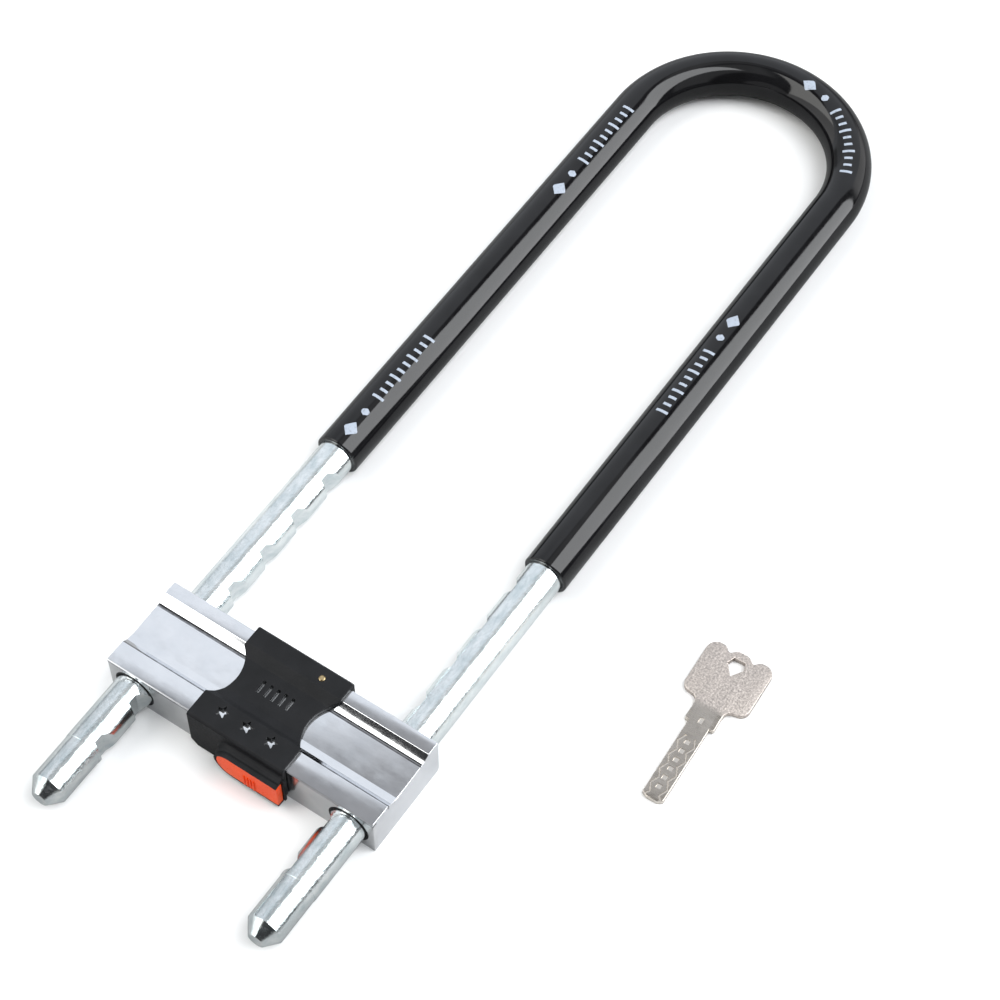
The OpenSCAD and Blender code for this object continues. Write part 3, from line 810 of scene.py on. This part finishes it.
def add_back_plate(bm):
    """The plate behind the shutter, with the round opening over the keyhole."""
    out = SHUTTER_R + 0.4 * MM
    right = SHUTTER_END_X - 1.5 * MM
    thickness = 0.9 * MM
    outline = arc((0, 0), out, 90, 270, 28) + [(right, -out), (right, out)]
    hole_steps = 48
    hole = arc((0, 0), PLUG_R + 0.4 * MM, 0, 360 - 360 / hole_steps, hole_steps - 1)
    flat = plate([outline, hole], thickness, 0.1 * MM, "back_plate", 1)
    flat.transform(Matrix.Rotation(math.radians(90), 4, "X"))
    flat.transform(Matrix.Translation((0, WALL_Y - thickness / 2, AXIS_Z)))
    bm.from_mesh(flat)


def make_hood():
    """The shutter's housing in one piece: rim, end stop and back plate."""
    bm = bmesh.new()
    add_rim(bm)
    add_end_stop(bm)
    add_back_plate(bm)
    mesh = finished(bm, "shutter_hood", 38)
    add_piece("shutter_hood", mesh, "crossbar", "black_plastic", ("shutter_housing",))


def shutter_outline():
    """The shutter from the front: a round left end, and a right end with small corner radii."""
    corner = 0.8 * MM
    corner_x = SHUTTER_END_X - corner
    corner_z = SHUTTER_R - corner
    outline = arc((0, 0), SHUTTER_R, 90, 270, 40)
    outline += arc((corner_x, -corner_z), corner, -90, 0, 6)
    outline += arc((corner_x, corner_z), corner, 0, 90, 6)
    return outline


def make_shutter():
    """The orange slide with four upright grips."""
    first_grip_x, grip_pitch, grip_width = 6.4 * MM, 1.5 * MM, 0.75 * MM
    depth = SHUTTER_BACK_Y - SHUTTER_FRONT_Y
    mesh = plate([shutter_outline()], depth, 0.3 * MM, "shutter_slide")
    mesh.transform(Matrix.Rotation(math.radians(90), 4, "X"))
    mesh.transform(Matrix.Translation((0, (SHUTTER_FRONT_Y + SHUTTER_BACK_Y) / 2, AXIS_Z)))
    bm = bmesh.new()
    bm.from_mesh(mesh)
    for i in range(4):
        x = first_grip_x + grip_pitch * i
        low = (x, SHUTTER_LOW.y, AXIS_Z - 5.6 * MM)
        high = (x + grip_width, SHUTTER_FRONT_Y + 0.5 * MM, AXIS_Z + 0.8 * MM)
        add_box(bm, low, high, 0.28 * MM)
    mesh = finished(bm, "shutter_slide", 40)
    add_piece("shutter_slide", mesh, "shutter", "orange_plastic", ("dust_shutter",))


# ---------------------------------------------------------------- key

BLADE_HALF = 4.5 * MM
BLADE_TIP_X = -37 * MM
BOW_END_X = 36.5 * MM


def bow_end(y):
    """X of the end of the bow: two shallow dips between three lobes."""
    dip = (abs(y) - 5.2 * MM) / (1.8 * MM)
    return BOW_END_X - 2.2 * MM * math.exp(-dip * dip)


def key_side():
    """The lower side of the key's outline from the tip to the bow: blade, shoulder, neck and bow."""
    shoulder_y = -BLADE_HALF - 1.9 * MM
    neck_x, waist_x, bow_x = 7.4 * MM, 15.2 * MM, 32 * MM
    side = [(BLADE_TIP_X, -2.4 * MM), (BLADE_TIP_X + 1.2 * MM, -BLADE_HALF), (0, -BLADE_HALF)]
    side += [(0, shoulder_y + 0.3 * MM), (1.2 * MM, shoulder_y), (6.0 * MM, -6.2 * MM)]
    side += arc((neck_x, -10.2 * MM), 3.9 * MM, 96, 30, 6)
    side += arc((waist_x, -10.0 * MM), 4.2 * MM, 205, 270, 8)
    side += arc((bow_x, -9.7 * MM), 4.5 * MM, -90, -8, 10)
    return side


def key_outline():
    """The key flat: blade towards -X, shoulders at the origin, and a bow with a three-lobed end."""
    side = key_side()
    end = [(bow_end(0.5 * i * MM), 0.5 * i * MM) for i in range(-18, 19)]
    return side + end + [(x, -y) for x, y in reversed(side)]


def key_hole():
    """The five-sided hole in the bow, its point towards the blade."""
    corner_x, end_x = 29.9 * MM, 32.9 * MM
    wide, narrow = 3.6 * MM, 2.4 * MM
    return [(25 * MM, 0), (corner_x, -wide), (end_x, -narrow), (end_x, narrow), (corner_x, wide)]


def groove_cutter(points, half_width, floor_share, depth, top_z, name):
    """A closed cutter along a path of points, with sloping sides, that opens the top face.

    Its floor is narrower than its mouth by floor_share.
    """
    above = 0.6 * MM
    floor_half = half_width * floor_share
    open_half = half_width * (1 + above / depth * (1 - floor_share))
    up, down = UP * (top_z + above), UP * (top_z - depth)
    bm = bmesh.new()
    rings = []
    for i, (x, y) in enumerate(points):
        x0, y0 = points[max(i - 1, 0)]
        x1, y1 = points[min(i + 1, len(points) - 1)]
        side = Vector((y0 - y1, x1 - x0, 0)).normalized()
        centre = Vector((x, y, 0))
        rings.append([
            centre + side * open_half + up, centre - side * open_half + up,
            centre - side * floor_half + down, centre + side * floor_half + down,
        ])
    ends = join_rings(bm, rings)
    bm.faces.new(ends[0])
    bm.faces.new(ends[-1])
    return finished(bm, name)


def zigzag(side):
    """Path of one side track: even slanting strokes that run out at the corner of the tip."""
    inner, outer = side * 2.0 * MM, side * 3.6 * MM
    first_x, pitch = -31 * MM, 7 * MM
    path = [(BLADE_TIP_X - 0.5 * MM, side * BLADE_HALF), (first_x - pitch / 2, inner)]
    for i in range(4):
        x = first_x + pitch * i
        path += [(x, outer), (x + pitch / 2, inner)]
    return path


def key_tracks(top_z):
    return [groove_cutter(zigzag(side), 0.4 * MM, 0.5, 0.3 * MM, top_z, "track") for side in (-1, 1)]


def key_dimples(top_z):
    """The row of six dimples along the blade and the longer one on the neck."""
    first_x, pitch, half_length = -31 * MM, 4.4 * MM, 1.05 * MM
    cutters = []
    for i in range(6):
        x = first_x + pitch * i
        row = [(x - half_length, 0), (x + half_length, 0)]
        cutters.append(groove_cutter(row, 1.1 * MM, 0.85, 0.25 * MM, top_z, "dimple"))
    neck = [(0.5 * MM, 0), (3.2 * MM, 0)]
    cutters.append(groove_cutter(neck, 0.9 * MM, 0.85, 0.2 * MM, top_z, "neck_dimple"))
    return cutters


def make_key():
    """The nickel key: a rounded blank with its hole, tracks and dimples, turned to its place."""
    thickness = KEY_HIGH.z - KEY_LOW.z
    top_z = thickness / 2
    blank = plate([key_outline(), key_hole()], thickness, 0.35 * MM, "key_blank")
    mesh = cut(blank, key_tracks(top_z) + key_dimples(top_z), "key_blank")
    mesh.transform(Matrix.Rotation(KEY_TURN, 4, "Z"))
    mesh.transform(Matrix.Translation(KEY_ORIGIN + UP * (KEY_LOW.z + thickness / 2)))
    add_piece("key_nickel", shade(mesh, 30), "key", "nickel_key", ("key",))


# ---------------------------------------------------------------- stage

def make_floor():
    """A large pale sheet. Metal mirrors it darker as painted shade, least so just behind the crossbar."""
    half_side = 6.0
    z = -0.02 * MM
    corners = [(half_side * x, half_side * y, z) for x, y in ((-1, -1), (1, -1), (1, 1), (-1, 1))]
    floor_mesh = bpy.data.meshes.new("floor")
    floor_mesh.from_pydata(corners, [], [(0, 1, 2, 3)])
    floor = temporary("floor", floor_mesh)
    s = Shader("floor_paper", Roughness=0.9, Specular_IOR_Level=0.1)
    paper = s.tint(s.noise(3, detail=2), (0.90, 0.90, 0.90), (0.92, 0.92, 0.92))
    # Painted shade: glossy rays see a darker floor, darker in front of the lock and far behind it.
    mirrored_shade = s.stops(s.axis("Y"), [
        (-60 * MM, 0.34), (0, 0.53), (60 * MM, 0.63), (105 * MM, 0.63), (150 * MM, 0.34), (400 * MM, 0.30)])
    rays = s.node("ShaderNodeLightPath")
    s.vary("Base Color", s.mix(rays.outputs["Is Glossy Ray"], paper, mirrored_shade))
    floor_mesh.materials.append(s.mat)


class Sky:
    """World light as a function of direction: soft boxes round a dark studio, all running along Y."""

    def __init__(self):
        world = bpy.data.worlds.new("studio")
        bpy.context.scene.world = world
        world.use_nodes = True
        self.tree = world.node_tree
        self.background = self.tree.nodes["Background"]
        self.direction = self.tree.nodes.new("ShaderNodeTexCoord").outputs["Generated"]
        split = self.tree.nodes.new("ShaderNodeSeparateXYZ")
        self.tree.links.new(self.direction, split.inputs[0])
        self.x, self.y, self.z = split.outputs
        self.roll = self.math("MULTIPLY", self.math("ARCTAN2", self.x, self.z), 180 / math.pi)

    def math(self, operation, a, b=0.0):
        made = self.tree.nodes.new("ShaderNodeMath")
        made.operation = operation
        for into, value in zip(made.inputs, (a, b)):
            if isinstance(value, (int, float)):
                into.default_value = value
            else:
                self.tree.links.new(value, into)
        return made.outputs["Value"]

    def step(self, value, at, soft):
        """0 below at, 1 above it, with a smooth edge of width soft."""
        made = self.tree.nodes.new("ShaderNodeMapRange")
        made.interpolation_type = "SMOOTHSTEP"
        made.inputs["From Min"].default_value = at - soft / 2
        made.inputs["From Max"].default_value = at + soft / 2
        self.tree.links.new(value, made.inputs["Value"])
        return made.outputs["Result"]

    def window(self, value, low, high, soft):
        inside = self.step(value, low, soft)
        past = self.step(value, high, soft)
        return self.math("SUBTRACT", inside, past)

    def both(self, a, b):
        return self.math("MULTIPLY", a, b)

    def beyond(self, normal, soft, below=False):
        """1 on the side of a plane through the viewer that its normal points to, or on the other side."""
        dot = self.tree.nodes.new("ShaderNodeVectorMath")
        dot.operation = "DOT_PRODUCT"
        dot.inputs[1].default_value = [-n for n in normal] if below else normal
        self.tree.links.new(self.direction, dot.inputs[0])
        return self.step(dot.outputs["Value"], 0, soft)

    def box(self, rolls, ys, roll_soft, y_soft):
        """A soft box between two roll angles about Y, in degrees from up towards +X, and two Y values."""
        across = self.window(self.roll, rolls[0], rolls[1], roll_soft)
        along = self.window(self.y, ys[0], ys[1], y_soft)
        return self.both(across, along)

    def blend(self, colour, patch, patch_colour):
        """Covers colour with patch_colour where patch is 1."""
        made = self.tree.nodes.new("ShaderNodeMix")
        made.data_type = "RGBA"
        self.tree.links.new(patch, made.inputs[0])
        if isinstance(colour, tuple):
            made.inputs[6].default_value = (*colour, 1)
        else:
            self.tree.links.new(colour, made.inputs[6])
        made.inputs[7].default_value = (*patch_colour, 1)
        return made.outputs[2]


def make_world():
    """Two large soft boxes either side of the camera, a low strip in front, and dim panels round them.

    The patches are laid over one another in the order of the list.
    """
    sky = Sky()
    left_edge = sky.beyond((-0.583, 0.691, -0.427), 0.022)
    left_box = sky.both(left_edge, sky.box((-116, 60), (-0.28, 0.97), 1.5, 0.08))
    right_low_edge = sky.beyond((-0.603, 0.749, -0.273), 0.02, below=True)
    right_high_edge = sky.beyond((-0.456, 0.789, 0.413), 0.02)
    right_box = sky.both(sky.both(right_low_edge, sky.step(sky.roll, 11.5, 1.2)), right_high_edge)
    right_box = sky.both(right_box, sky.window(sky.y, -0.4, 0.72, 0.05))
    strip_edge = sky.beyond((0.927, -0.331, 0.178), 0.02, below=True)
    strip = sky.both(strip_edge, sky.window(sky.y, -0.95, -0.01, 0.03))
    strip_tail = sky.both(strip, sky.step(sky.roll, -96, 4.0))
    strip_head = sky.both(strip, sky.step(sky.roll, -52, 2.0))
    overhead = sky.box((-8, 80), (-0.5, 0.12), 10.0, 0.1)
    front_wall = sky.box((-90, 90), (-1.1, -0.91), 10.0, 0.04)
    gap_panel = sky.box((-22, 11.5), (0.17, 0.46), 2.0, 0.03)
    gap_glow = sky.box((-10, 11.5), (0.24, 0.46), 9.0, 0.03)
    left_dimmed = sky.box((-80, -34), (0.1, 0.35), 10.0, 0.08)
    left_shaded = sky.box((-118, -74), (0.1, 0.35), 10.0, 0.08)
    far_panel = sky.box((24, 84), (0.72, 0.97), 3.0, 0.1)
    colour = (0.04, 0.04, 0.042)
    patches = [
        (overhead, (0.5, 0.51, 0.52)),
        (front_wall, (0.4, 0.4, 0.41)),
        (gap_panel, (0.33, 0.335, 0.35)),
        (gap_glow, (0.58, 0.59, 0.60)),
        (left_box, (0.88, 0.92, 0.98)),
        (left_dimmed, (0.62, 0.65, 0.69)),
        (left_shaded, (0.26, 0.27, 0.28)),
        (strip_tail, (1.3, 1.3, 1.3)),
        (strip_head, (3.6, 3.6, 3.5)),
        (right_box, (5.4, 5.5, 5.6)),
        (far_panel, (1.4, 1.4, 1.4)),
    ]
    for patch, patch_colour in patches:
        colour = sky.blend(colour, patch, patch_colour)
    sky.tree.links.new(colour, sky.background.inputs["Color"])
    sky.background.inputs["Strength"].default_value = 1.0


def make_camera():
    """A long lens above the front right of the crossbar, looking down along the legs."""
    azimuth, elevation = math.radians(34.35), math.radians(56.83)
    target = Vector((12.5, 135.2, 0)) * MM
    distance = 1.0936
    sensor = 36
    focal_in_frames = 2.694
    back = Vector((
        math.sin(azimuth) * math.cos(elevation),
        -math.cos(azimuth) * math.cos(elevation),
        math.sin(elevation),
    ))
    data = bpy.data.cameras.new("camera")
    data.sensor_width = sensor
    data.lens = sensor * focal_in_frames
    data.clip_start = 0.05
    camera = temporary("camera", data)
    camera.location = target + back * distance
    camera.rotation_mode = "QUATERNION"
    camera.rotation_quaternion = (-back).to_track_quat("-Z", "Y")
    bpy.context.scene.camera = camera


bpy.context.scene.view_settings.view_transform = "Standard"
MATERIALS = make_materials()
dress_frame()
make_crossbar()
make_sleeve()
make_sleeve_print()
make_cover()
make_hood()
make_shutter()
make_key()
make_floor()
make_world()
make_camera()
